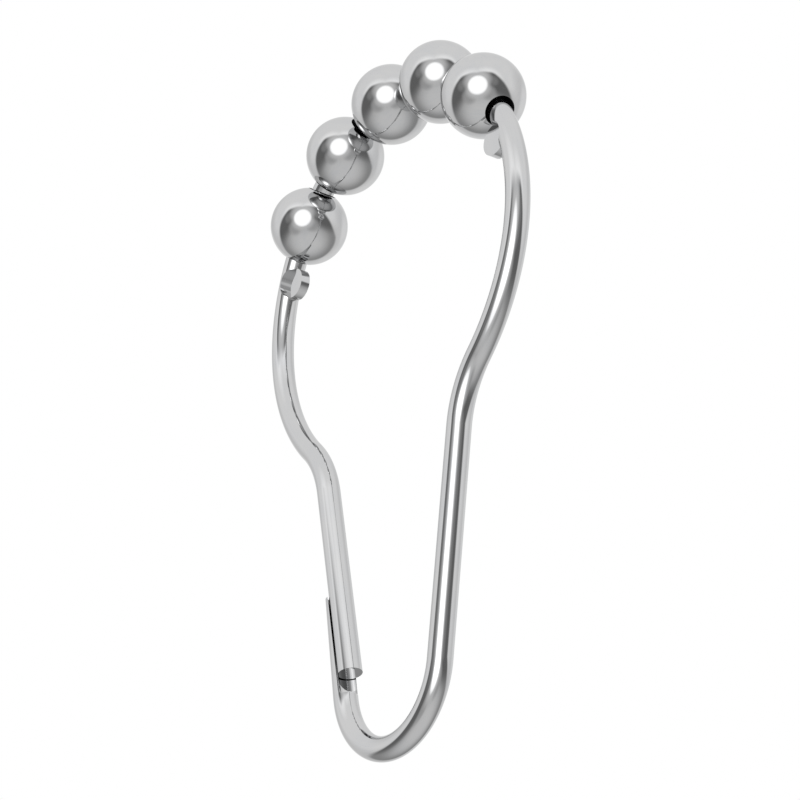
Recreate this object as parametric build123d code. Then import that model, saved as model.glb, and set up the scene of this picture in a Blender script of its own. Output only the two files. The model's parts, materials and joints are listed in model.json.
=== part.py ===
"""Roller shower curtain hook, in millimetres.

One bent wire makes the ring: a large arc that hangs on the rod, a shoulder on each
side, a straight leg, a tight bottom bend, and a grooved end in which the free leg
nests. Five bored balls roll on the large arc between two pressed stops.

The ring lies in the XZ plane with +Z up. The origin is the centre of the large arc,
where the middle of the curtain rod comes.
"""
from build123d import *
from math import acos, asin, cos, pi, radians, sin, sqrt
import os

# Wire ring: radii are those of the wire's centre line
wire_diameter = 2.55
arc_radius = 21.75
bottom_bend_radius = 8.1
bend_spacing = 44.0
leg_lean = radians(8.75)
shoulder_radius = 11.5

# Latch: the free leg lies in a groove in the wire's other end
groove_length = 11.1
groove_clearance = 0.15
groove_floor_rounding = 0.4
free_end_gap = 2.2
free_end_inset = 1.12
free_leg_extra_lean = radians(3.0)

# Rolling balls: the straight bores clear the curved wire because the balls sit inside
# its centre line, so that it runs outwards in a bore's middle and inwards at its mouths
ball_count = 5
ball_diameter = 9.0
ball_gap = 0.43
ball_inset = 0.32
bore_diameter = 3.3

# Pressed stops: round flats squeezed inwards out of the wire
stop_radius = 1.75
stop_thickness = 1.1
stop_reach = 1.66
stop_gap = 0.8

# Worked out from the values above
wire_radius = wire_diameter / 2
ball_radius = ball_diameter / 2
ball_track_radius = arc_radius - ball_inset
ball_pitch = 2 * asin((ball_diameter + ball_gap) / 2 / ball_track_radius)


def ring_point(x, z):
    """A point of the ring's own plane."""
    return Vector(x, 0, z)


def ring_direction(angle):
    """The direction out from the origin at an angle from the top, towards +X."""
    return ring_point(sin(angle), cos(angle))


def leg_line(side, lean, reach):
    """The centre line of a leg: its outward and upward directions, and its reach.

    side is 1 for +X and -1 for -X, lean is the angle from upright, and reach is the
    distance from the origin to the line.
    """
    outward = ring_point(side * cos(lean), -sin(lean))
    upward = ring_point(side * sin(lean), cos(lean))
    return outward, upward, reach


def shoulder(line, radius):
    """The arc that joins a leg to the large arc, tangent to both.

    Its centre lies radius outside the leg and radius outside the large arc. Returns
    the arc's points on the large arc, at its middle and on the leg.
    """
    outward, upward, reach = line
    across = reach + radius
    along = -sqrt((arc_radius + radius) ** 2 - across**2)
    centre = outward * across + upward * along
    on_arc = centre.normalized() * arc_radius
    on_leg = centre - outward * radius
    middle = (on_arc - centre) + (on_leg - centre)
    return on_arc, centre + middle.normalized() * radius, on_leg


def cylinder_between(start, end, radius):
    """A round bar from one point to another."""
    direction = end - start
    plane = Plane(origin=start, z_dir=direction.normalized())
    return extrude(plane * Circle(radius), direction.length)


# Legs: the closed leg on +X and the grooved end on -X lean alike
bottom_centre = ring_point(0, -bend_spacing)
closed_line = leg_line(1, leg_lean, bend_spacing * sin(leg_lean) + bottom_bend_radius)
groove_outward, groove_upward, _ = leg_line(-1, leg_lean, 0)
closed_leg_foot = bottom_centre + closed_line[0] * bottom_bend_radius
groove_foot = bottom_centre + groove_outward * bottom_bend_radius

# Free leg: its end stands above the groove's foot and inside the groove's line
free_end = groove_foot + groove_upward * free_end_gap - groove_outward * free_end_inset
free_outward, free_upward, _ = leg_line(-1, leg_lean + free_leg_extra_lean, 0)
free_line = (free_outward, free_upward, free_end.dot(free_outward))


def wire_path():
    """The ring's centre line, from the groove's foot round to the free end."""
    closed_on_arc, closed_middle, closed_on_leg = shoulder(closed_line, shoulder_radius)
    free_on_arc, free_middle, free_on_leg = shoulder(free_line, shoulder_radius)
    bottom = bottom_centre - ring_point(0, bottom_bend_radius)
    top = ring_point(0, arc_radius)
    return Wire(
        [
            ThreePointArc(groove_foot, bottom, closed_leg_foot),
            Line(closed_leg_foot, closed_on_leg),
            ThreePointArc(closed_on_leg, closed_middle, closed_on_arc),
            ThreePointArc(closed_on_arc, top, free_on_arc),
            ThreePointArc(free_on_arc, free_middle, free_on_leg),
            Line(free_on_leg, free_end),
        ]
    )


def bent_wire():
    """The round wire swept along its centre line."""
    path = wire_path()
    profile = Plane(origin=path @ 0, z_dir=path % 0) * Circle(wire_radius)
    return sweep(profile, path=path)


def groove_form():
    """The form of the groove: round like the free leg with a clearance.

    Its flat floor is square to the free leg and stays above the groove's foot, and the
    floor's edge is rounded.
    """
    groove_radius = wire_radius + groove_clearance
    floor_height = groove_radius * sin(free_leg_extra_lean)
    floor_drop = (free_end_gap - floor_height) / cos(free_leg_extra_lean)
    floor = free_end - free_upward * floor_drop
    form = cylinder_between(floor, floor + free_upward * 2 * groove_length, groove_radius)
    floor_edge = form.edges().filter_by(GeomType.CIRCLE).sort_by_distance(floor)[0]
    return fillet(floor_edge, groove_floor_rounding)


def grooved_end():
    """The wire's end beside the free leg, hollowed round that leg."""
    tip = groove_foot + groove_upward * groove_length
    return cylinder_between(groove_foot, tip, wire_radius) - groove_form()


def stop_angle():
    """The angle of a stop from the top: stop_gap beyond the outermost ball.

    The triangle of the origin, the ball's centre and the stop's centre has two sides
    on the two track radii and the third from ball to stop.
    """
    outer_ball = (ball_count - 1) / 2 * ball_pitch
    stop_track = arc_radius - stop_reach
    apart = ball_radius + stop_gap + stop_radius
    opening = acos(
        (ball_track_radius**2 + stop_track**2 - apart**2)
        / (2 * ball_track_radius * stop_track)
    )
    return outer_ball + opening


def pressed_stop(wire, side):
    """The wire squeezed flat from both faces within a circle, into a round flat."""
    centre = ring_direction(side * stop_angle()) * (arc_radius - stop_reach)
    half_flat = ring_point(0, 0) + Vector(0, stop_thickness / 2, 0)
    clear_of_wire = Vector(0, wire_diameter, 0)
    for face in (1, -1):
        floor = centre + half_flat * face
        wire -= cylinder_between(floor, floor + clear_of_wire * face, stop_radius)
    return wire + cylinder_between(centre - half_flat, centre + half_flat, stop_radius)


def wire_ring():
    """The whole wire as one solid."""
    ring = bent_wire() + grooved_end()
    for side in (1, -1):
        ring = pressed_stop(ring, side)
    return ring


def rolling_ball(index):
    """A bored ball at its place on the arc, its bore along the wire there.

    Ball 0 is at the closed leg's end of the row, the last at the free leg's end.
    """
    angle = ((ball_count - 1) / 2 - index) * ball_pitch
    along_wire = ring_direction(angle + pi / 2)
    place = Plane(origin=ring_direction(angle) * ball_track_radius, z_dir=along_wire)
    bore = Cylinder(bore_diameter / 2, ball_diameter + ball_gap)
    return place * (Sphere(ball_radius) - bore)


os.makedirs("parts", exist_ok=True)
export_step(wire_ring(), "parts/wire_ring.step")
for index in range(ball_count):
    export_step(rolling_ball(index), f"parts/ball_{index + 1}.step")
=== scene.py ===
"""Looks of the roller shower curtain hook: its meshes, finishes, studio and camera.

The ring and its balls are rebuilt here as smooth surfaces with exact normals, because a
mirror finish shows every facet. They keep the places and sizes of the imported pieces.
Lengths are in metres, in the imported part's frame: the ring lies in the XZ plane, +Z is
up and the origin is the centre of the large arc. Plane points are complex numbers x + iz.
"""

import json
import logging
import math
from dataclasses import dataclass
from enum import Enum

import bpy
import numpy as np
from mathutils import Matrix, Vector

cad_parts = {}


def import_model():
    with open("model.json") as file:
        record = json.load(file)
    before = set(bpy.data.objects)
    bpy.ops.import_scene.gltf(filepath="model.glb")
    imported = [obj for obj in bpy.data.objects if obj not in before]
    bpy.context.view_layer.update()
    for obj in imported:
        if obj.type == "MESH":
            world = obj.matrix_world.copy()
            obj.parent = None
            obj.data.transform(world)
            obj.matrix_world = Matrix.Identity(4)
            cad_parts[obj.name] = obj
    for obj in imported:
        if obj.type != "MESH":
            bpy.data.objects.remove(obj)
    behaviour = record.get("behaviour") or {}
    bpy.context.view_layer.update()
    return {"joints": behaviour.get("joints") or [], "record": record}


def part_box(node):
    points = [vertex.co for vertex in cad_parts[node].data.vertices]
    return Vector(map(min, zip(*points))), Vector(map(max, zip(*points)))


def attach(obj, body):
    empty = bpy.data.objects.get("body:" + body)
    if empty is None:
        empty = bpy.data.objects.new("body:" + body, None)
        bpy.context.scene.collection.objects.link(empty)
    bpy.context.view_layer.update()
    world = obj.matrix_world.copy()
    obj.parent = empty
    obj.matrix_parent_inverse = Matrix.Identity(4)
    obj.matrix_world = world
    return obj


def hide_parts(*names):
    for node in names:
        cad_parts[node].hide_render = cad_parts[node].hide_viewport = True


MM = 0.001
TURN = 2 * math.pi
WELD_GRID = 1e-8
SPREAD_MAP = "spread"
BALL_RADIUS = 4.5 * MM
BORE_RADIUS = 1.65 * MM
SIDEWAYS = np.array([0.0, 1.0, 0.0])

Array = np.ndarray
Socket = bpy.types.NodeSocket
Level = Socket | float
Colour = tuple[float, float, float, float]

log = logging.getLogger("hook")


def linear_colour(code: str) -> Colour:
    """Turn an sRGB colour such as #CBCBCB into linear red, green, blue and an alpha of one."""
    channels = (int(code[i : i + 2], 16) / 255 for i in (1, 3, 5))
    return (*(c / 12.92 if c <= 0.04045 else ((c + 0.055) / 1.055) ** 2.4 for c in channels), 1.0)


def compass(azimuth: float, height: float) -> tuple[float, float, float]:
    """Return the unit direction at an azimuth from +Y towards +X and a height, in degrees."""
    turn, rise = math.radians(azimuth), math.radians(height)
    return math.sin(turn) * math.cos(rise), math.cos(turn) * math.cos(rise), math.sin(rise)


def shares(count: int) -> Array:
    """Return the ends of that many even steps from 0 to 1."""
    return np.linspace(0, 1, count + 1)


def opened(edge: Array, share: Array) -> Array:
    """Spread shares of a turn over the part of it from an edge angle round to its negative."""
    return edge + share * (TURN - 2 * edge)


def plane_points(flat: Array | complex, side: Array | float = 0.0) -> Array:
    """Place complex plane points x + iz at a height y beside the ring's plane."""
    flat, side = np.broadcast_arrays(flat, side)
    return np.stack([flat.real, side, flat.imag], axis=-1)


def flattened(points: Array) -> Array:
    """Return the complex plane points x + iz of points in space."""
    return points @ np.array([1, 0, 1j])


def spokes(inward: Array | complex, angles: Array) -> Array:
    """Return the unit directions cos(angle) * inward + sin(angle) * sideways."""
    return plane_points(inward * np.cos(angles), np.sin(angles))


def paired(along: Array, around: Array) -> Array:
    """Pair two texture coordinates, of shapes that broadcast together."""
    return np.stack(np.broadcast_arrays(along, around), axis=-1)


class NodeGraph:
    """The node tree of a material or of the world, with short ways to fill it."""

    def __init__(self, owner: bpy.types.Material | bpy.types.World) -> None:
        """Take over the owner's node tree and empty it."""
        owner.use_nodes = True
        self.tree = owner.node_tree
        self.tree.nodes.clear()

    def add(
        self, kind: str, settings: dict[str, object] | None = None, **inputs: object
    ) -> bpy.types.Node:
        """Add a node, set its properties and fill or link its input sockets.

        Args:
            kind: The node's type name.
            settings: Properties of the node itself.
            **inputs: Socket names with underscores for spaces, or "at" and a number, each
                with a value or with an output socket to link.

        Returns:
            The new node.
        """
        node = self.tree.nodes.new(kind)
        for name, value in (settings or {}).items():
            setattr(node, name, value)
        for name, value in inputs.items():
            numbered = name[:2] == "at" and name[2:].isdigit()
            key = int(name[2:]) if numbered else name.replace("_", " ")
            if isinstance(value, Socket):
                self.tree.links.new(value, node.inputs[key])
            else:
                node.inputs[key].default_value = value
        return node

    def maths(self, operation: str, *terms: object, kind: str = "ShaderNodeMath") -> Socket:
        """Work on values or sockets with a Math node, or a Vector Math node for a number."""
        inputs = {f"at{i}": term for i, term in enumerate(terms)}
        return self.add(kind, {"operation": operation}, **inputs).outputs["Value"]

    def along(self, ray: Socket, axis: Vector | tuple[float, ...]) -> Socket:
        """Return the part of a direction along an axis."""
        return self.maths("DOT_PRODUCT", ray, tuple(axis), kind="ShaderNodeVectorMath")

    def ranged(
        self,
        value: Socket,
        source: tuple[float, float] = (0.0, 1.0),
        target: tuple[float, float] = (0.0, 1.0),
        easing: str = "LINEAR",
    ) -> Socket:
        """Map a number from the source's range to the target's and keep it inside that."""
        ends = dict(zip(("From_Min", "From_Max", "To_Min", "To_Max"), source + target))
        return self.add(
            "ShaderNodeMapRange", {"interpolation_type": easing}, Value=value, **ends
        ).outputs["Result"]

    def blended(self, share: Socket, first: Level, second: Level) -> Socket:
        """Mix two numbers by the share of the second."""
        kind = {"data_type": "FLOAT"}
        return self.add("ShaderNodeMix", kind, at0=share, at2=first, at3=second).outputs[0]

    def tinted(self, share: Socket, first: Colour | Socket, second: Colour) -> Socket:
        """Mix two colours by the share of the second."""
        kind = {"data_type": "RGBA"}
        return self.add("ShaderNodeMix", kind, at0=share, at6=first, at7=second).outputs[2]

    def noise(self, place: Socket, size: float, detail: float, roughness: float = 0.5) -> Socket:
        """Add noise with spots of a size and with finer layers, and return its grey value."""
        inputs = {"Scale": 1 / size, "Detail": detail, "Roughness": roughness}
        return self.add("ShaderNodeTexNoise", Vector=place, **inputs).outputs["Fac"]


@dataclass
class Patch:
    """A surface on a grid of two parameters, with the exact normal at every point.

    Attributes:
        points: Places, rows by columns by three.
        normals: Outward unit normals, the same shape.
        spread: Texture coordinates in metres, rows by columns by two.
        finish: Number of the piece's finish that it wears.
    """

    points: Array
    normals: Array
    spread: Array
    finish: int = 0

    @property
    def cells(self) -> int:
        """Number of faces in the grid."""
        rows, columns = self.points.shape[:2]
        return (rows - 1) * (columns - 1)

    def mirrored(self) -> "Patch":
        """Return the same surface on the other side of the ring's plane."""
        flip = 1 - 2 * SIDEWAYS
        return Patch(self.points * flip, self.normals * flip, self.spread, self.finish)

    def corners(self) -> tuple[Array, Array, Array]:
        """Cut the grid into four-cornered faces that look along the normals.

        Returns:
            Corner points, corner normals and corner texture coordinates, each faces by
            four by their own width.
        """
        taken = [
            np.stack([a[:-1, :-1], a[1:, :-1], a[1:, 1:], a[:-1, 1:]], axis=2)
            for a in (self.points, self.normals, self.spread)
        ]
        points, normals, spread = [a.reshape(-1, 4, a.shape[-1]) for a in taken]
        across = np.cross(points[:, 2] - points[:, 0], points[:, 3] - points[:, 1])
        if np.einsum("ij,ij->", across, normals.mean(axis=1)) < 0:
            points, normals, spread = points[:, ::-1], normals[:, ::-1], spread[:, ::-1]
        return points, normals, spread


def ruled(first: Array, second: Array, normal: Array) -> Patch:
    """Rule a flat strip with one normal between two lines of as many points."""
    points = np.stack([first, second])
    return Patch(points, np.broadcast_to(normal, points.shape), points[..., :2])


def make_piece(name: str, patches: list[Patch]) -> bpy.types.Object:
    """Weld patches into one closed mesh and keep their exact normals.

    Corners that share a place become one vertex. A face with two corners in one place
    becomes a triangle, and one with fewer than three places is left out.

    Args:
        name: The new object's name.
        patches: The surfaces, which meet point to point at their edges.

    Returns:
        The object, linked to the scene, with a UV map in metres.
    """
    points, normals, spread = (
        np.concatenate(parts) for parts in zip(*(patch.corners() for patch in patches))
    )
    keys = np.round(points.reshape(-1, 3) / WELD_GRID).astype(np.int64)
    _, first, index = np.unique(keys, axis=0, return_index=True, return_inverse=True)
    vertices = points.reshape(-1, 3)[first]
    index = index.reshape(-1, 4)
    doubled = index == np.roll(index, -1, axis=1)
    kept = ~doubled & (doubled.sum(axis=1) <= 1)[:, None]
    total = kept.sum(axis=1)
    total = total[total > 0]
    start = np.concatenate([[0], np.cumsum(total)[:-1]])
    finish = np.repeat([patch.finish for patch in patches], [patch.cells for patch in patches])

    mesh = bpy.data.meshes.new(name)
    mesh.vertices.add(len(vertices))
    mesh.vertices.foreach_set("co", vertices.astype(np.float32).ravel())
    mesh.loops.add(int(total.sum()))
    mesh.loops.foreach_set("vertex_index", index[kept].astype(np.int32))
    mesh.polygons.add(len(total))
    mesh.polygons.foreach_set("loop_start", start.astype(np.int32))
    mesh.polygons.foreach_set("use_smooth", np.ones(len(total), bool))
    mesh.polygons.foreach_set("material_index", finish[kept.any(axis=1)].astype(np.int32))
    uv_map = mesh.uv_layers.new(name=SPREAD_MAP)
    uv_map.data.foreach_set("uv", spread[kept].astype(np.float32).ravel())
    mesh.update(calc_edges=True)
    mesh.normals_split_custom_set(normals[kept].astype(np.float32))
    piece = bpy.data.objects.new(name, mesh)
    bpy.context.scene.collection.objects.link(piece)
    return piece


@dataclass(frozen=True)
class Stations:
    """Rings along the wire: where each one stands and how much of it is open.

    Attributes:
        centre: Complex centres of the rings.
        heading: Complex unit directions of travel.
        gap: Half the angle, from the inward side, that a stop takes out of the ring.
    """

    centre: Array
    heading: Array
    gap: Array

    @property
    def travelled(self) -> Array:
        """Distances along the wire from the first ring."""
        return np.concatenate([[0], np.cumsum(abs(np.diff(self.centre)))])

    @staticmethod
    def straight(start: complex, end: complex, count: int) -> "Stations":
        """Space rings evenly from one point to another, in count steps."""
        heading = np.full(count + 1, (end - start) / abs(end - start))
        return Stations(start + (end - start) * shares(count), heading, np.zeros(count + 1))

    @staticmethod
    def arc(centre: complex, start: complex, angles: Array, gap: Array) -> "Stations":
        """Place rings round a centre, at angles turned from the start point.

        Args:
            centre: The arc's centre.
            start: The point that the arc leaves.
            angles: The turns so far, all of one sign and counterclockwise when positive.
            gap: The stop's half angle at each ring.

        Returns:
            The rings in order.
        """
        spoke = (start - centre) * np.exp(1j * angles)
        sense = 1j if angles[-1] > 0 else -1j
        return Stations(centre + spoke, sense * spoke / abs(start - centre), gap)

    @staticmethod
    def joined(runs: list["Stations"]) -> "Stations":
        """Join runs end to end. A later run's first ring is the last of the one before."""
        rows = zip(*((run.centre, run.heading, run.gap) for run in runs))
        return Stations(*(np.concatenate([first, *(r[1:] for r in rest)]) for first, *rest in rows))


@dataclass
class WireRing:
    """The bent wire: its arcs, legs, groove and pressed stops.

    Attributes:
        wire_radius: Radius of the wire.
        arc_radius: Radius of the large arc's centre line.
        bend_spacing: Distance between the centres of the large arc and the bend.
        last_ball: Complex centre of the ball next to the stop on +X.
        bend_radius: Radius of the bottom bend's centre line.
        leg_lean: Angle of the closed leg and the grooved end from upright.
        shoulder_radius: Radius of both shoulders' centre lines.
        groove_length: Length of the grooved end above the bend.
        groove_clearance: Space between the free leg and the groove.
        groove_floor_rounding: Radius between the groove's wall and its floor.
        free_end_gap: Height of the free end above the groove's foot.
        free_end_inset: Distance of the free end's centre inside the grooved end's line.
        free_leg_extra_lean: Lean of the free leg beyond leg_lean.
        stop_radius: Radius of a stop's round flat.
        stop_thickness: Thickness left between a stop's faces.
        stop_reach: Distance of a stop's centre inside the wire's centre line.
        stop_gap: Free space between a stop and the ball next to it.
        sides: Points round the wire, a multiple of four.
        ring_step: Angle between rings on an arc.
        leg_rings: Steps along a straight leg.
        floor_rows: Steps over the rounding of the groove's floor.
        wall_rows: Steps up the groove's wall.
        stop_steps: Points along each quarter of a stop's outline.
        stop_rows: Steps from a stop's flat down to the wire.
    """

    wire_radius: float
    arc_radius: float
    bend_spacing: float
    last_ball: complex
    bend_radius: float = 8.1 * MM
    leg_lean: float = math.radians(8.75)
    shoulder_radius: float = 11.5 * MM
    groove_length: float = 11.1 * MM
    groove_clearance: float = 0.15 * MM
    groove_floor_rounding: float = 0.4 * MM
    free_end_gap: float = 2.2 * MM
    free_end_inset: float = 1.12 * MM
    free_leg_extra_lean: float = math.radians(3.0)
    stop_radius: float = 1.75 * MM
    stop_thickness: float = 1.1 * MM
    stop_reach: float = 1.66 * MM
    stop_gap: float = 0.8 * MM
    sides: int = 96
    ring_step: float = math.radians(1.5)
    leg_rings: int = 16
    floor_rows: int = 8
    wall_rows: int = 12
    stop_steps: int = 24
    stop_rows: int = 4

    def __post_init__(self) -> None:
        """Work out the directions, points and sizes that the methods share."""
        lean, extra = self.leg_lean, self.free_leg_extra_lean
        closed_outward = np.exp(-1j * lean)
        self.groove_inward = np.exp(1j * lean)
        self.groove_upward = 1j * self.groove_inward
        self.free_inward = self.groove_inward * np.exp(1j * extra)
        self.free_upward = self.groove_upward * np.exp(1j * extra)
        self.bend_centre = -1j * self.bend_spacing
        self.closed_foot = self.bend_centre + self.bend_radius * closed_outward
        self.groove_foot = self.bend_centre - self.bend_radius * self.groove_inward
        self.free_end = (
            self.groove_foot
            + self.groove_upward * self.free_end_gap
            + self.groove_inward * self.free_end_inset
        )
        self.closed_shoulder = self.shoulder(closed_outward, self.closed_foot)
        self.free_shoulder = self.shoulder(-np.exp(1j * (lean + extra)), self.free_end)
        self.groove_radius = self.wire_radius + self.groove_clearance
        self.groove_sides = self.sides // 2 - self.floor_rows
        floor_drop = (self.free_end_gap - self.groove_radius * math.sin(extra)) / math.cos(extra)
        self.floor_middle = self.free_end - self.free_upward * floor_drop
        self.stop_track = self.arc_radius - self.stop_reach
        self.half_flat = self.stop_thickness / 2

    def shoulder(self, outward: complex, on_line: complex) -> tuple[complex, complex, complex]:
        """Find the arc that is tangent to the large arc and to a leg.

        Its centre is shoulder_radius outside the leg, and shoulder_radius plus
        arc_radius from the origin, below it.

        Args:
            outward: The leg's outward direction.
            on_line: Any point of the leg's centre line.

        Returns:
            The shoulder's centre, its point on the large arc and its point on the leg.
        """
        upward = outward * 1j if outward.real > 0 else outward / 1j
        reach = (on_line * outward.conjugate()).real
        across = reach + self.shoulder_radius
        along = -math.sqrt((self.arc_radius + self.shoulder_radius) ** 2 - across**2)
        centre = outward * across + upward * along
        on_arc = centre / abs(centre) * self.arc_radius
        return centre, on_arc, centre - outward * self.shoulder_radius

    def stop_angle(self) -> float:
        """Work out a stop's place, by the triangle of origin, ball and stop.

        Returns:
            The stop's angle from the top.
        """
        ball_track = abs(self.last_ball)
        apart = BALL_RADIUS + self.stop_gap + self.stop_radius
        opening = math.acos(
            (ball_track**2 + self.stop_track**2 - apart**2) / (2 * ball_track * self.stop_track)
        )
        return math.atan2(self.last_ball.real, self.last_ball.imag) + opening

    def stop_outline(self) -> tuple[Array, float, float]:
        """Sample a stop's outline, on points that the wire and the stop share.

        The outline's point at angle b is as far from the origin as the end of a path
        that goes stop_track out and then stop_radius at the angle b to that.

        Returns:
            Angles round the outline from the outward direction, the angle where the
            wire is as high as the flat, and the angle where the wire ends.
        """
        level = math.sqrt(self.wire_radius**2 - self.half_flat**2)
        at_flat, at_edge = (
            math.acos(
                ((self.arc_radius - depth) ** 2 - self.stop_track**2 - self.stop_radius**2)
                / (2 * self.stop_track * self.stop_radius)
            )
            for depth in (level, self.wire_radius)
        )
        pressed = np.linspace(-at_flat, at_flat, 2 * self.stop_steps + 1)
        lifted = np.linspace(at_flat, at_edge, self.stop_steps // 2 + 1)[1:]
        free = np.linspace(at_edge, TURN - at_edge, 2 * self.stop_steps + 1)[1:]
        back = TURN - lifted[::-1][1:]
        around = np.concatenate([pressed, lifted, free, back, [TURN - at_flat]])
        return around, at_flat, at_edge

    def wire_gap(self, outline: Array) -> tuple[Array, Array]:
        """Find where the wire's surface meets a stop's outline.

        Args:
            outline: Angles round the outline.

        Returns:
            The turn along the large arc and the angle round the wire, from inward.
        """
        spot = self.stop_track + self.stop_radius * np.exp(1j * outline)
        depth = self.arc_radius - abs(spot)
        return np.angle(spot), np.arccos(np.clip(depth / self.wire_radius, -1, 1))

    def run(self, begin: float, end: float) -> Array:
        """Return evenly spaced turns, from after the first one given up to the other."""
        count = max(1, round(abs(end - begin) / self.ring_step))
        return np.linspace(begin, end, count + 1)[1:]

    def large_arc(self) -> Stations:
        """Place the rings of the large arc, closer together across the two stops.

        Returns:
            The rings from the closed leg's shoulder to the free leg's.
        """
        _, on_arc, _ = self.closed_shoulder
        _, off_arc, _ = self.free_shoulder
        start = np.angle(on_arc)
        outline, _, at_edge = self.stop_outline()
        later = outline[outline <= at_edge]
        crossing = np.concatenate([-later[later > -later[0]][::-1], later])
        along, gap = self.wire_gap(crossing)
        angles, gaps = [np.zeros(1)], [np.zeros(1)]
        for stop in (math.pi / 2 - self.stop_angle(), math.pi / 2 + self.stop_angle()):
            centre = (stop - start) % TURN
            before = self.run(angles[-1][-1], centre + along[0])
            angles += [before, centre + along[1:]]
            gaps += [np.zeros(len(before)), gap[1:]]
        after = self.run(angles[-1][-1], (np.angle(off_arc) - start) % TURN)
        angles, gaps = [*angles, after], [*gaps, np.zeros(len(after))]
        return Stations.arc(0j, on_arc, np.concatenate(angles), np.concatenate(gaps))

    def plain_arc(self, centre: complex, start: complex, end: complex, sense: int) -> Stations:
        """Place rings on an arc without stops.

        Args:
            centre: The arc's centre.
            start: Its first point.
            end: Its last point.
            sense: 1 for counterclockwise, -1 for clockwise.

        Returns:
            The rings in order.
        """
        turn = sense * (sense * np.angle((end - centre) / (start - centre)) % TURN)
        angles = np.append(0.0, self.run(0.0, turn))
        return Stations.arc(centre, start, angles, np.zeros(len(angles)))

    def path(self) -> Stations:
        """Join the rings of the whole wire.

        Returns:
            The rings from the groove's foot to the free end.
        """
        closed_centre, closed_on_arc, closed_on_leg = self.closed_shoulder
        free_centre, free_on_arc, free_on_leg = self.free_shoulder
        return Stations.joined(
            [
                self.plain_arc(self.bend_centre, self.groove_foot, self.closed_foot, 1),
                Stations.straight(self.closed_foot, closed_on_leg, self.leg_rings),
                self.plain_arc(closed_centre, closed_on_leg, closed_on_arc, -1),
                self.large_arc(),
                self.plain_arc(free_centre, free_on_arc, free_on_leg, -1),
                Stations.straight(free_on_leg, self.free_end, self.leg_rings),
            ]
        )

    def lip_angle(self, height: Array) -> tuple[Array, Array, Array]:
        """Find the groove's lips at a height, above the rounding of its floor.

        The wire is the circle w*w + y*y = r*r. The groove is the free leg's circle with
        its clearance, cut aslant: an ellipse at w = inset, longer by 1 / cos(lean). Its
        lips are where both hold, which is a quadratic in w.

        Args:
            height: Height above the groove's foot.

        Returns:
            The lip's angle round the wire from inward, its angle round the groove's own
            centre line, and that line's inset.
        """
        slant = math.cos(self.free_leg_extra_lean)
        rise = height - self.free_end_gap
        inset = self.free_end_inset - rise * math.tan(self.free_leg_extra_lean)
        a = slant**2 - 1
        b = -2 * inset * slant**2
        c = (inset * slant) ** 2 + self.wire_radius**2 - self.groove_radius**2
        across = 2 * c / (-b + np.sqrt(b**2 - 4 * a * c))
        side = np.sqrt(self.wire_radius**2 - across**2)
        return np.arctan2(side, across), np.arctan2(side, (across - inset) * slant), inset

    def floor_profile(self) -> tuple[Array, ...]:
        """Sample the rounding between the groove's wall and its flat floor.

        A row is a circle of radius g round the groove's centre line, in a plane square
        to it. It meets the wire's surface where the square of
        inset + g * cos(lean) * cos(angle) and that of g * sin(angle) add up to the
        square of the wire's radius, which is a quadratic in cos(angle).

        Returns:
            For every row from wall to floor: its turn, its place along the groove from
            the floor, its radius, the meeting angle round the groove, and that point's
            angle round the wire and height above the groove's foot.
        """
        turn = np.linspace(0, math.pi / 2, self.floor_rows + 1)
        along = self.groove_floor_rounding * (1 - np.sin(turn))
        radius = self.groove_radius - self.groove_floor_rounding * (1 - np.cos(turn))
        lean = self.free_leg_extra_lean
        place = self.floor_middle + self.free_upward * along - self.groove_foot
        place = place * self.groove_inward.conjugate()
        a = -((radius * math.sin(lean)) ** 2)
        b = 2 * place.real * radius * math.cos(lean)
        c = place.real**2 + radius**2 - self.wire_radius**2
        cosine = -2 * c / (b + np.sqrt(b**2 - 4 * a * c))
        met = np.arccos(cosine)
        spot = place + radius * cosine * np.exp(1j * lean)
        return turn, along, radius, met, np.arctan2(radius * np.sin(met), spot.real), spot.imag

    def ring_angles(self, stations: Stations) -> Array:
        """Spread the points round every ring, from the inward side and back to it.

        At the groove's foot they stand below the points of its floor's edge. They even
        out over the bottom bend, and a stop's gap squeezes them together.

        Args:
            stations: The rings.

        Returns:
            Angles, rings by points plus one.
        """
        *_, edge, _ = self.floor_profile()
        flat = np.linspace(0, edge[-1], self.groove_sides // 2 + 1)
        inner = np.concatenate([flat, edge[::-1][1:]])
        outer = np.linspace(edge[0], TURN - edge[0], self.groove_sides + 1)[1:]
        at_foot = np.concatenate([inner, outer, TURN - inner[::-1][1:]])
        even = np.linspace(0, TURN, self.sides + 1)
        share = np.clip(stations.travelled / self.bend_radius, 0, 1)[:, None]
        angles = at_foot * (1 - share) + even * share
        return opened(stations.gap[:, None], angles / TURN)

    def tube(self, stations: Stations) -> Patch:
        """Carry the wire's circle along the path.

        A point is centre + r * (cos(angle) * inward + sin(angle) * sideways), where
        inward is the heading turned a quarter to the left.

        Args:
            stations: The rings.

        Returns:
            The wire's round surface.
        """
        angles = self.ring_angles(stations)
        normals = spokes(1j * stations.heading[:, None], angles)
        points = plane_points(stations.centre[:, None]) + self.wire_radius * normals
        spread = paired(stations.travelled[:, None], angles * self.wire_radius)
        return Patch(points, normals, spread)

    def above_foot(self, points: Array) -> Array:
        """Return the heights of points above the groove's foot, along the grooved end."""
        return ((flattened(points) - self.groove_foot) / self.groove_upward).real

    def round_side(self, height: Array, angles: Array) -> Patch:
        """Lay a surface on the grooved end's round side.

        Args:
            height: Its points' heights above the groove's foot.
            angles: Their angles from the inward side, which broadcast with height.

        Returns:
            The surface, which faces away from the wire's centre line.
        """
        height, angles = np.broadcast_arrays(height, angles)
        normals = spokes(self.groove_inward, angles)
        base = plane_points(self.groove_foot + self.groove_upward * height)
        spread = paired(-height, angles * self.wire_radius)
        return Patch(base + self.wire_radius * normals, normals, spread)

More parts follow.
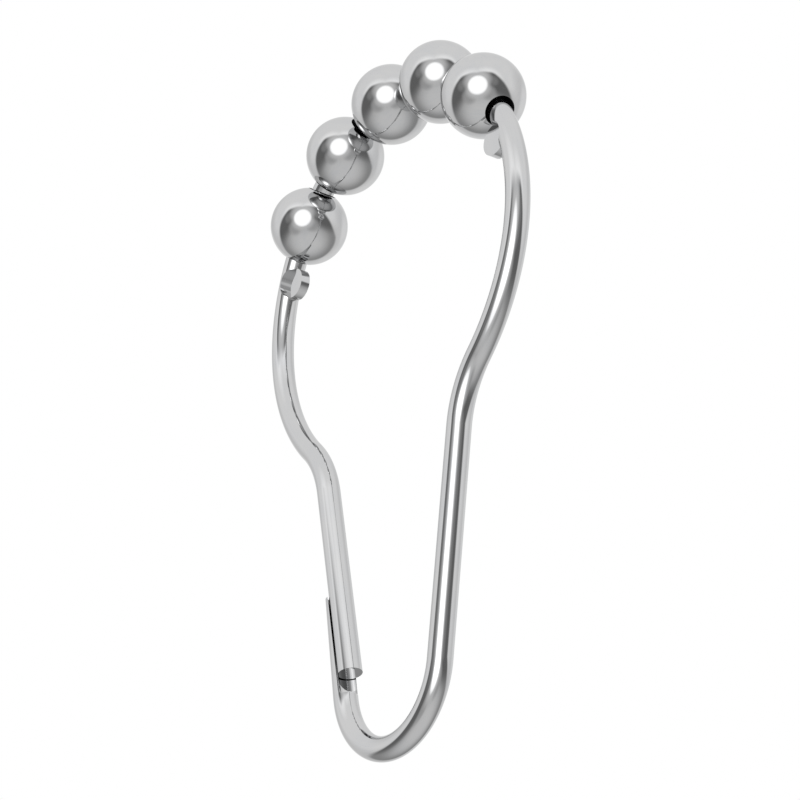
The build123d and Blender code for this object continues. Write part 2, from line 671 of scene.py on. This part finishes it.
    def outer_side(self, lip_height: Array) -> Patch:
        """Make the grooved end's outer side, from lip to lip.

        Args:
            lip_height: Heights of the lips' points.

        Returns:
            The surface, with one more row at the foot.
        """
        lip, _, _ = self.lip_angle(lip_height)
        height = np.concatenate([[0.0], lip_height])[:, None]
        lip = np.concatenate([lip[:1], lip])[:, None]
        return self.round_side(height, opened(lip, shares(self.groove_sides)))

    def collar(self) -> Patch:
        """Make the round side below the groove, up to the edge of its floor.

        Under the flat floor the edge follows the floor's plane, which rises inwards by
        the free leg's extra lean.

        Returns:
            The surface, with one row at the foot and one at the edge.
        """
        *_, edge, rise = self.floor_profile()
        flat = np.linspace(edge[-1], -edge[-1], self.groove_sides + 1)
        floor = (self.floor_middle - self.groove_foot) * self.groove_inward.conjugate()
        slope = math.tan(self.free_leg_extra_lean)
        flat_rise = floor.imag + (self.wire_radius * np.cos(flat) - floor.real) * slope
        angles = np.concatenate([edge[:-1], flat, -edge[:-1][::-1]])
        top = np.concatenate([rise[:-1], flat_rise, rise[:-1][::-1]])
        return self.round_side(np.stack([0 * top, top]), angles)

    def groove(self) -> tuple[Patch, Patch]:
        """Make the groove's rounded lower end and its wall up to the cut top.

        A row of the rounding is a circle between two points of the floor's edge. Every
        column of the wall keeps its share of the way from lip to lip.

        Returns:
            The rounding and the wall.
        """
        turn, along, radius, met, _, _ = [row[:, None] for row in self.floor_profile()]
        angles = opened(met, shares(self.groove_sides))
        away = spokes(self.free_inward, angles)
        base = plane_points(self.floor_middle + self.free_upward * along)
        points = base + radius[..., None] * away
        upward = plane_points(self.free_upward)
        normals = np.sin(turn)[..., None] * upward - np.cos(turn)[..., None] * away
        run = (turn - math.pi / 2) * self.groove_floor_rounding
        rounding = Patch(points, normals, paired(run, angles * self.groove_radius))

        foot = self.above_foot(points[0])
        _, lip, _ = self.lip_angle(foot)
        share = (angles[0] - lip) / (TURN - 2 * lip)
        height = foot + shares(self.wall_rows)[:, None] * (self.groove_length - foot)
        _, lip, inset = self.lip_angle(height)
        angles = opened(lip, share)
        across = inset + self.groove_radius * np.cos(angles) / math.cos(self.free_leg_extra_lean)
        flat = self.groove_foot + self.groove_upward * height + self.groove_inward * across
        points = plane_points(flat, self.groove_radius * np.sin(angles))
        spread = paired(-height, angles * self.groove_radius)
        # The wall wears the second finish: chrome that fades upwards into painted shade.
        wall = Patch(points, -spokes(self.free_inward, angles), spread, finish=1)
        return rounding, wall

    def grooved_end(self) -> list[Patch]:
        """Make the grooved end.

        Returns:
            Its two round sides, the groove's rounding and wall, its cut top and floor.
        """
        collar, (rounding, wall) = self.collar(), self.groove()
        outer_side = self.outer_side(self.above_foot(wall.points[:, 0]))
        upward = plane_points(self.groove_upward)
        cut_top = ruled(outer_side.points[-1], wall.points[-1], upward)
        floor_edge = collar.points[1, self.floor_rows : self.floor_rows + self.groove_sides + 1]
        floor = ruled(rounding.points[-1], floor_edge, plane_points(self.free_upward))
        return [collar, outer_side, rounding, wall, cut_top, floor]

    def stop(self, side: int) -> list[Patch]:
        """Make one pressed stop: two round flats, their walls in the wire and the rim.

        Points of the outline are centre + R * (cos(b) * outward + sin(b) * along). From
        the flats' height a wall rises to the wire where the wire is higher, and the rim
        falls to the wire or to the middle plane where it is lower.

        Args:
            side: 1 for the stop on +X, -1 for the one on -X.

        Returns:
            The stop's patches.
        """
        around, at_flat, at_edge = self.stop_outline()
        outward = 1j * np.exp(-1j * side * self.stop_angle())
        direction = outward * np.exp(1j * around)
        centre = outward * self.stop_track
        _, gap = self.wire_gap(around)
        met = (around <= at_edge) | (around >= TURN - at_edge)
        wire_height = np.where(met, self.wire_radius * np.sin(gap), 0.0)
        share = shares(self.stop_rows)[:, None]
        height = self.half_flat * (1 - share) + wire_height * share
        points = plane_points(centre + self.stop_radius * direction, height)
        normals = np.broadcast_to(plane_points(direction), points.shape)
        spread = paired(around * self.stop_radius, height)
        pressed = around <= at_flat + WELD_GRID
        lower = around >= at_flat - WELD_GRID
        wall = Patch(points[:, pressed], -normals[:, pressed], spread[:, pressed])
        rim = Patch(points[:, lower], normals[:, lower], spread[:, lower])
        middle = np.broadcast_to(plane_points(centre, self.half_flat), points[0].shape)
        half = [wall, rim, ruled(points[0], middle, SIDEWAYS)]
        return half + [patch.mirrored() for patch in half]

    def build(self) -> bpy.types.Object:
        """Make the whole wire as one closed piece.

        A flat disc from rim to middle closes the free leg's cut end.

        Returns:
            The wire's object.
        """
        stations = self.path()
        tube = self.tube(stations)
        rim = tube.points[-1]
        middle = np.broadcast_to(rim[:-1].mean(axis=0), rim.shape)
        cap = ruled(rim, middle, plane_points(stations.heading[-1]))
        patches = [tube, cap, *self.grooved_end(), *self.stop(1), *self.stop(-1)]
        return make_piece("plated_wire_ring", patches)


@dataclass
class RollingBall:
    """A bored ball on the wire.

    Attributes:
        name: The ball's node.
        centre: Its middle.
        axis: The direction of its bore.
        radius: Its radius.
        bore_radius: The radius of its bore.
        sides: Points round the bore's axis.
        rows: Steps over the ball from mouth to mouth.
        bore_rows: Steps through the bore.
    """

    name: str
    centre: Array
    axis: Array
    radius: float = BALL_RADIUS
    bore_radius: float = BORE_RADIUS
    sides: int = 144
    rows: int = 96
    bore_rows: int = 8

    def revolve(self, along: Array, reach: Array, slope: Array) -> Patch:
        """Turn a profile round the bore's axis.

        Args:
            along: The profile's places along the axis.
            reach: Its distances from the axis.
            slope: Its outward normals as complex numbers, along + i * away.

        Returns:
            The surface, with points centre + along * axis + reach * spoke.
        """
        third = np.cross(self.axis, SIDEWAYS)
        around = np.linspace(0, TURN, self.sides + 1)
        turn = np.append(around[:-1], 0.0)
        spoke = np.cos(turn)[:, None] * SIDEWAYS + np.sin(turn)[:, None] * third
        points = self.centre + along[:, None, None] * self.axis + reach[:, None, None] * spoke
        normals = slope.real[:, None, None] * self.axis + slope.imag[:, None, None] * spoke
        return Patch(points, normals, paired(along[:, None], around * self.radius))

    def build(self) -> bpy.types.Object:
        """Make the ball: a sphere's zone between the mouths, and the bore's wall.

        Returns:
            The ball's object.
        """
        mouth = math.asin(self.bore_radius / self.radius)
        slope = np.exp(1j * np.linspace(mouth, math.pi - mouth, self.rows + 1))
        skin = self.revolve(self.radius * slope.real, self.radius * slope.imag, slope)
        half = self.radius * math.cos(mouth)
        along = np.linspace(half, -half, self.bore_rows + 1)
        reach = np.full(len(along), self.radius * math.sin(mouth))
        wall = self.revolve(along, reach, np.full(len(along), -1j))
        # The bore's wall wears the second finish: painted shade.
        wall.finish = 1
        return make_piece(f"plated_{self.name}", [skin, wall])


@dataclass(frozen=True)
class Finish:
    """A finish of some surface in the scene.

    Attributes:
        name: The material's name.
    """

    name: str

    def shader(self, graph: NodeGraph) -> Socket:
        """Add the finish's nodes, which every kind of finish does in its own way.

        Args:
            graph: The material's empty graph.

        Returns:
            The shader's socket.
        """
        raise NotImplementedError

    def material(self) -> bpy.types.Material:
        """Build the finish's node material.

        Returns:
            The material.
        """
        material = bpy.data.materials.new(self.name)
        graph = NodeGraph(material)
        graph.add("ShaderNodeOutputMaterial", Surface=self.shader(graph))
        return material


def spread_of(graph: NodeGraph) -> Socket:
    """Return the socket of a piece's own texture coordinates, in metres."""
    return graph.add("ShaderNodeUVMap", {"uv_map": SPREAD_MAP}).outputs["UV"]


@dataclass(frozen=True)
class ChromePlate(Finish):
    """Bright chrome plating on steel: a neutral, slightly grey mirror.

    Drawn wire keeps faint lines along its length under the plating, and a tumbled ball
    has a fine haze without direction, so a reflection's edge is not quite even.

    Attributes:
        bright: Colour of the clean plating.
        dull: Colour where polish and handling have left a haze.
        grazing: Tint of what is seen at a low angle, where chrome hardly brightens.
        smooth: Roughness of the clean plating.
        hazy: Roughness of the haze.
        line_length: Length of a drawing line or haze spot.
        line_width: Width of one.
        cloud_size: Size of the clouds in which lines and spots come and go.
        haze_range: Strengths of the pattern where haze begins and where it is full.
        depth: Height of the surface's waviness.
        relief: Share of that height that the light shows.
    """

    bright: str = "#CBCBCB"
    dull: str = "#C5C6C8"
    grazing: str = "#EDEDED"
    smooth: float = 0.035
    hazy: float = 0.07
    line_length: float = 6.0 * MM
    line_width: float = 0.12 * MM
    cloud_size: float = 4.0 * MM
    haze_range: tuple[float, float] = (0.15, 0.45)
    depth: float = 0.0004 * MM
    relief: float = 0.5

    def coated(self, graph: NodeGraph, spread: Socket, colour: Socket) -> Socket:
        """Return the plating's colour unchanged, with no painted shade: it covers the whole piece
        evenly.
        """
        return colour

    def shader(self, graph: NodeGraph) -> Socket:
        """Build the plating on the piece's own spread."""
        spread = spread_of(graph)
        scale = (1 / self.line_length, 1 / self.line_width, 1.0)
        stretched = graph.add("ShaderNodeMapping", Vector=spread, Scale=scale).outputs[0]
        lines = graph.noise(stretched, size=1.0, detail=3.0, roughness=0.6)
        cloud = graph.noise(spread, self.cloud_size, detail=2.0)
        haze = graph.ranged(graph.maths("MULTIPLY", lines, cloud), self.haze_range)
        colour = graph.tinted(haze, linear_colour(self.bright), linear_colour(self.dull))
        bump = graph.add(
            "ShaderNodeBump", Strength=self.relief, Distance=self.depth, Height=lines
        )
        return graph.add(
            "ShaderNodeBsdfPrincipled",
            Base_Color=self.coated(graph, spread, colour),
            Metallic=1.0,
            Specular_Tint=linear_colour(self.grazing),
            Roughness=graph.ranged(haze, target=(self.smooth, self.hazy)),
            Normal=bump.outputs["Normal"],
        ).outputs["BSDF"]


@dataclass(frozen=True)
class GroovePlateAndShade(ChromePlate):
    """Chrome plating in the groove, which fades upwards into painted shade behind the free leg.

    The painted shade stands for the dark of the narrow space between leg and groove.

    Attributes:
        scale: Colour of the painted shade.
        plated_to: Height above the groove's foot up to which there is no painted shade.
        fully_shaded_from: Height from which there is only painted shade.
    """

    # Colour of the painted shade behind the free leg.
    scale: str = "#0B0B0C"
    plated_to: float = 2.4 * MM
    fully_shaded_from: float = 6.0 * MM

    def coated(self, graph: NodeGraph, spread: Socket, colour: Socket) -> Socket:
        """Fade the plating upwards into painted shade. The spread's first part is minus the height.
        """
        minus_height = graph.add("ShaderNodeSeparateXYZ", Vector=spread).outputs["X"]
        # The share of painted shade, from none low in the groove to all of it higher up.
        bare = graph.ranged(minus_height, (-self.plated_to, -self.fully_shaded_from))
        return graph.tinted(bare, colour, linear_colour(self.scale))


@dataclass(frozen=True)
class BoreShade(Finish):
    """Painted shade in a bore: a dark, rough surface for the dark of the narrow space round the
    wire.

    Attributes:
        scale: Colour of the painted shade.
        lighter_shade: A slightly lighter colour in spots of the painted shade.
        rough: Roughness of the painted shade.
        lighter_spot_size: Size of a lighter spot.
    """

    # Colour of the painted shade in the bore.
    scale: str = "#0B0B0C"
    lighter_shade: str = "#17171A"
    rough: float = 0.7
    lighter_spot_size: float = 0.8 * MM

    def shader(self, graph: NodeGraph) -> Socket:
        """Build painted shade with slightly lighter spots."""
        mottle = graph.noise(spread_of(graph), self.lighter_spot_size, detail=3.0)
        colour = graph.tinted(mottle, linear_colour(self.scale), linear_colour(self.lighter_shade))
        return graph.add(
            "ShaderNodeBsdfPrincipled", Base_Color=colour, Roughness=self.rough
        ).outputs["BSDF"]


@dataclass(frozen=True)
class FloorPaint(Finish):
    """Matt white paint on the floor, seen through where it ends and by reflections.

    Attributes:
        radius: The floor's radius.
        whole_to: Share of that radius up to which the paint is whole.
        white: Colour of the paint.
    """

    radius: float
    whole_to: float = 0.55
    white: str = "#FBFBFB"

    def shader(self, graph: NodeGraph) -> Socket:
        """Build the paint, which fades out towards the floor's edge."""
        place = graph.add("ShaderNodeTexCoord").outputs["Object"]
        reach = graph.maths("LENGTH", place, kind="ShaderNodeVectorMath")
        fade = graph.ranged(reach, (self.whole_to * self.radius, self.radius), easing="SMOOTHSTEP")
        mirrored = graph.add("ShaderNodeLightPath").outputs["Is Glossy Ray"]
        paint = graph.add(
            "ShaderNodeBsdfDiffuse", Color=linear_colour(self.white), Roughness=1.0
        ).outputs[0]
        return graph.add(
            "ShaderNodeMixShader",
            at0=graph.maths("MAXIMUM", fade, mirrored),
            at1=paint,
            at2=graph.add("ShaderNodeBsdfTransparent").outputs[0],
        ).outputs[0]


class Layer(Enum):
    """The layers of the studio, each over the one before it, and its cards likewise."""

    ROOM = "room"
    PAPER = "paper"
    LAMP = "lamp"


@dataclass(frozen=True)
class StudioCard:
    """A round patch of light or shade in the studio, the same on both sides of the lamp.

    Attributes:
        azimuth: Its middle's azimuth from the lamp, in degrees.
        height: Its middle's height above the room's horizon, in degrees.
        inner: Angle from its middle where it starts to fade, in degrees.
        outer: Angle from its middle where it has faded out, in degrees.
        level: Its brightness, where 1 is white paper.
    """

    azimuth: float
    height: float
    inner: float
    outer: float
    level: float

    def share(self, graph: NodeGraph, ray: Socket) -> Socket:
        """Mask the card in a direction: 1 in its middle, easing to 0 at its outer angle."""
        ends = (math.cos(math.radians(self.outer)), math.cos(math.radians(self.inner)))
        cosine = graph.along(ray, compass(self.azimuth, self.height))
        return graph.ranged(cosine, ends, easing="SMOOTHSTEP")


STUDIO_CARDS = {
    Layer.ROOM: {
        "light ceiling": StudioCard(175, 65, 0, 70, 0.79),
        "dark wall": StudioCard(50, -18, 49, 75, 0.17),
        "sheen on the wall": StudioCard(43, 20, 0, 17, 0.29),
        "glow beside the lamp": StudioCard(50, 54, 0, 25, 0.47),
        "glow below the lamp": StudioCard(8, 22, 0, 34, 0.81),
    },
    Layer.PAPER: {
        "shade behind the hook": StudioCard(143, 34, 10, 73, 0.64),
        "shade beside the hook": StudioCard(118, -39, 0, 42, 0.83),
        "light from behind": StudioCard(136, -45, 3, 25, 1.03),
        "lamplight on the paper": StudioCard(27, 26, 1, 47, 1.41),
    },
    Layer.LAMP: {
        "halo": StudioCard(10, 48, 0, 33, 0.83),
        "lamp": StudioCard(0, 39.5, 21, 28.5, 1.7),
        "lamp's middle": StudioCard(0, 39.4, 8, 20, 4.0),
    },
}


@dataclass(frozen=True)
class Viewpoint:
    """The photograph's camera.

    Attributes:
        azimuth: Degrees round the hook, from -Y towards +X.
        elevation: Degrees above the horizon.
        roll: Degrees that the picture is turned clockwise.
        distance: Distance from the aim.
        aim: The point in the picture's middle.
        lens: Focal length in millimetres.
        sensor: Width of the sensor in millimetres.
        clip: Nearest and farthest distance that the camera sees.
    """

    azimuth: float = 54.48
    elevation: float = -24.97
    roll: float = -0.12
    distance: float = 212.8 * MM
    aim: tuple[float, float, float] = (-4.20 * MM, 4.09 * MM, -12.43 * MM)
    lens: float = 89.0
    sensor: float = 36.0
    clip: tuple[float, float] = (0.01, 10.0)

    def axes(self) -> tuple[Vector, Vector, Vector]:
        """Work out how the camera is turned.

        Returns:
            Its right, up and backward directions.
        """
        east, south, rise = compass(self.azimuth, self.elevation)
        back = Vector((east, -south, rise))
        right = Vector((0, 0, 1)).cross(back).normalized()
        up = back.cross(right)
        tilt = Matrix.Rotation(math.radians(self.roll), 3, back)
        return tilt @ right, tilt @ up, back

    def towards(self, right: float, rise: float) -> Vector:
        """Find a direction from the hook beside the one to the camera.

        Args:
            right: Degrees right of the camera.
            rise: Degrees above it.

        Returns:
            The unit direction.
        """
        side, up, back = self.axes()
        turn, lift = math.radians(right), math.radians(rise)
        level = side * math.sin(turn) + back * math.cos(turn)
        return level * math.cos(lift) + up * math.sin(lift)

    def build(self) -> None:
        """Make the camera and let the scene use it."""
        data = bpy.data.cameras.new("camera")
        data.sensor_width = self.sensor
        data.lens = self.lens
        data.clip_start, data.clip_end = self.clip
        camera = bpy.data.objects.new("camera", data)
        right, up, back = self.axes()
        turned = Matrix((right, up, back)).transposed().to_4x4()
        camera.matrix_world = Matrix.Translation(Vector(self.aim) + back * self.distance) @ turned
        bpy.context.scene.collection.objects.link(camera)
        bpy.context.scene.camera = camera


@dataclass
class Studio:
    """White paper on one side, a grey room with a round soft lamp on the other.

    The hook is all mirror, so what it looks like is what stands round it. The room is
    described by its own up direction, towards the middle of the grey side, and by
    azimuths from the lamp.

    Attributes:
        viewpoint: The camera that the studio is set up for.
        room_up: The grey side's middle, in degrees right of and above the camera.
        lamp: The lamp's middle, likewise.
        room_level: Brightness of the bare room, where 1 is white.
        paper_level: Brightness of the bare paper.
        paper_edge: Heights of the paper's edge at azimuths from the lamp, in degrees.
        edge_reach: Greatest height that the edge's curve can give, in degrees.
        edge_softness: Half the width of the paper's soft edge, in degrees.
        floor_height: The floor's height.
        floor_radius: The floor's radius.
        floor_sides: Points round the floor.
        floor_rows: Steps from its middle to its edge.
    """

    viewpoint: Viewpoint
    room_up: tuple[float, float] = (-10.6, -29.1)
    lamp: tuple[float, float] = (-18.5, 21.0)
    room_level: float = 0.36
    paper_level: float = 1.0
    paper_edge: tuple[tuple[float, float], ...] = (
        (0, 5.2), (12, 2.4), (24, 0.9), (36, -0.9), (48, 1.2), (60, 3.2), (72, 4.5),
        (85, 5.1), (100, 4.5), (115, 0.9), (130, -5.4), (145, -7.9), (160, -8.6), (180, -9)
    )
    edge_reach: float = 20.0
    edge_softness: float = 4.65
    floor_height: float = -320 * MM
    floor_radius: float = 600 * MM
    floor_sides: int = 128
    floor_rows: int = 8

    def layered(self, graph: NodeGraph, ray: Socket, layer: Layer, level: Level) -> Level:
        """Lay one layer's cards over a brightness, in their order, for a room direction."""
        for card in STUDIO_CARDS[layer].values():
            level = graph.blended(card.share(graph, ray), level, card.level)
        return level

    def edge_height(self, graph: NodeGraph, side: Socket, front: Socket) -> Socket:
        """Look up the paper's edge in a direction, on a smooth curve through paper_edge.

        The curve's own range from 0 to 1 stands for half a turn from the lamp, and for
        heights from minus edge_reach to edge_reach.

        Args:
            graph: The world's graph.
            side: The direction's part away from the lamp's azimuth, never negative.
            front: Its part towards the lamp's azimuth.

        Returns:
            The socket of the edge's height in radians.
        """
        half_turn, middle = 180, 0.5
        azimuth = graph.maths("ARCTAN2", side, front)
        share = graph.maths("DIVIDE", azimuth, math.pi)
        curve = graph.add("ShaderNodeFloatCurve", Value=share)
        profile = curve.mapping.curves[0]
        while len(profile.points) < len(self.paper_edge):
            profile.points.new(middle, middle)
        for point, (turn, height) in zip(profile.points, self.paper_edge):
            point.location = (turn / half_turn, middle + height / (2 * self.edge_reach))
        curve.mapping.update()
        centred = graph.maths("SUBTRACT", curve.outputs[0], middle)
        return graph.maths("MULTIPLY", centred, math.radians(2 * self.edge_reach))

    def surroundings(self, graph: NodeGraph) -> Socket:
        """Work out the studio's brightness in every direction.

        Directions are turned into the room's own axes: away from the lamp's azimuth,
        towards it, and up.

        Args:
            graph: The world's graph.

        Returns:
            The brightness's socket.
        """
        ray = graph.add("ShaderNodeTexCoord").outputs["Generated"]
        up = self.viewpoint.towards(*self.room_up)
        lamp = self.viewpoint.towards(*self.lamp)
        front = (lamp - up * lamp.dot(up)).normalized()
        aside = graph.maths("ABSOLUTE", graph.along(ray, up.cross(front)))
        ahead = graph.along(ray, front)
        upward = graph.along(ray, up)
        room_ray = graph.add("ShaderNodeCombineXYZ", X=aside, Y=ahead, Z=upward).outputs[0]
        room = self.layered(graph, room_ray, Layer.ROOM, self.room_level)
        paper = self.layered(graph, room_ray, Layer.PAPER, self.paper_level)
        edge = self.edge_height(graph, aside, ahead)
        above = graph.maths("SUBTRACT", graph.maths("ARCSINE", upward), edge)
        soft = math.radians(self.edge_softness)
        in_room = graph.ranged(above, (-soft, soft), easing="SMOOTHSTEP")
        level = graph.blended(in_room, paper, room)
        return self.layered(graph, room_ray, Layer.LAMP, level)

    def build_world(self) -> None:
        """Light the scene: white to the camera and soft light, the studio to reflections."""
        world = bpy.data.worlds.new("studio")
        graph = NodeGraph(world)
        path = graph.add("ShaderNodeLightPath").outputs
        mirrored = graph.maths("MAXIMUM", path["Is Glossy Ray"], path["Is Transmission Ray"])
        strength = graph.blended(mirrored, 1.0, self.surroundings(graph))
        background = graph.add(
            "ShaderNodeBackground", Color=linear_colour("#FFFFFF"), Strength=strength
        ).outputs[0]
        graph.add("ShaderNodeOutputWorld", Surface=background)
        bpy.context.scene.world = world

    def build_floor(self) -> None:
        """Stage the floor's points below the hook.

        They all lie in the ring's own plane, so that this floor has no area and isn't
        seen: the white background is the world's.
        """
        turn = np.linspace(0, TURN, self.floor_sides + 1)
        reach = np.linspace(0, self.floor_radius, self.floor_rows + 1)[:, None]
        points = plane_points(reach * np.cos(turn) + 1j * self.floor_height)
        normals = np.broadcast_to(np.array([0.0, 0.0, 1.0]), points.shape)
        floor = make_piece("floor", [Patch(points, normals, points[..., :2])])
        floor.data.materials.append(FloorPaint("matt_white_paint", self.floor_radius).material())

    def build(self) -> None:
        """Set up the world, the floor and the picture's colours."""
        self.build_world()
        self.build_floor()
        bpy.context.scene.view_settings.view_transform = "Standard"


def dress(
    piece: bpy.types.Object, node: str, body: str, slot: str, *finishes: bpy.types.Material
) -> None:
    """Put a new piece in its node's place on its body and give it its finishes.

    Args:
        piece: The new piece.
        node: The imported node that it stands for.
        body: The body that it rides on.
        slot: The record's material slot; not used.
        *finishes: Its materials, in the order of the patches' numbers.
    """
    for finish in finishes:
        piece.data.materials.append(finish)
    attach(piece, body)
    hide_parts(node)
    log.info("%s: %d faces on %s", piece.name, len(piece.data.polygons), body)


def body_of_node(bodies: dict[str, list[str]], node: str) -> str:
    """Return the body that holds a node."""
    return next(body for body, members in bodies.items() if node in members)


def main() -> None:
    """Build the ring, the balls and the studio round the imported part."""
    logging.basicConfig(level=logging.INFO, format="%(message)s")
    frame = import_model()
    bodies = frame["record"]["behaviour"]["bodies"]
    joints = frame["joints"]

    low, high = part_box("wire_ring")
    wire_radius = high.y
    last_place = joints[0]["pos_m"]
    wire = WireRing(
        wire_radius=wire_radius,
        arc_radius=high.x - wire_radius,
        bend_spacing=-low.z - wire_radius - WireRing.bend_radius,
        last_ball=complex(last_place[0], last_place[2]),
    )
    wire_finish = ChromePlate("chrome_plated_drawn_steel").material()
    ball_finish = ChromePlate(
        "chrome_plated_tumbled_steel", line_length=0.9 * MM, line_width=0.6 * MM
    ).material()
    # The bore's finish is painted shade.
    bore_shade = BoreShade("scale_on_unplated_drilled_steel").material()
    # The groove's finish: chrome fading into painted shade behind the free leg.
    groove_finish_and_shade = GroovePlateAndShade("chrome_plated_pressed_steel").material()
    body = body_of_node(bodies, "wire_ring")
    dress(wire.build(), "wire_ring", body, "plated_wire", wire_finish, groove_finish_and_shade)

    for joint in joints:
        node = bodies[joint["child"]][0]
        axis = np.array(joint["axis"]) / np.linalg.norm(joint["axis"])
        ball = RollingBall(name=node, centre=np.array(joint["pos_m"]), axis=axis)
        dress(ball.build(), node, joint["child"], "plated_balls", ball_finish, bore_shade)

    viewpoint = Viewpoint()
    viewpoint.build()
    Studio(viewpoint).build()


if __name__ == "__main__":
    main()
